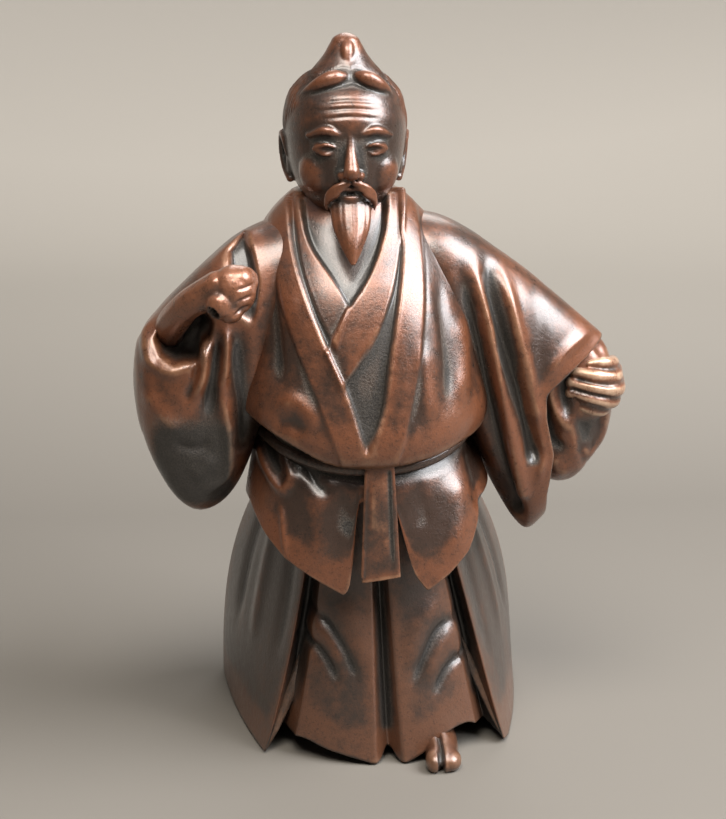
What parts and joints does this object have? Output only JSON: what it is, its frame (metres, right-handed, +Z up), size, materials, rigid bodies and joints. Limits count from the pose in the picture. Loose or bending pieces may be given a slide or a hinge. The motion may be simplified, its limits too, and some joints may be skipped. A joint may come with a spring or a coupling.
{
  "type": "okimono figure",
  "caption": "Cast bronze okimono of an old man in a wide-sleeved coat and stiff pleated skirt, with a bored fist for a staff.",
  "frame": {"origin": "on the table plane, under the middle of the skirt's hem", "axes": "+Z up, the figure faces -Y, its own left is +X"},
  "size_m": [0.1784, 0.1099, 0.26],
  "materials": {
    "bronze_patina": "waxed russet patina",
    "bronze_dark": "dark brown patina",
    "bronze_worn": "patina worn by handling",
    "pin_metal": "plain drawn pin"
  },
  "bodies": {
    "root": {"skirt_casting": "bronze_dark", "coat_casting": "bronze_patina", "head_casting": "bronze_patina", "right_sleeve_casting": "bronze_patina", "left_sleeve_casting": "bronze_patina", "left_under_sleeve": "bronze_patina", "right_forearm": "bronze_patina", "right_hand": "bronze_worn", "left_hand": "bronze_worn", "left_foot": "bronze_dark", "right_foot": "bronze_dark", "sash_band": "bronze_patina", "sash_tail": "bronze_patina", "neck_pin": "pin_metal", "waist_pins": "pin_metal", "right_arm_pin": "pin_metal", "left_arm_pin": "pin_metal", "right_wrist_pin": "pin_metal", "left_wrist_pin": "pin_metal", "left_foot_pin": "pin_metal", "right_foot_pin": "pin_metal"}
  },
  "joints": []
}
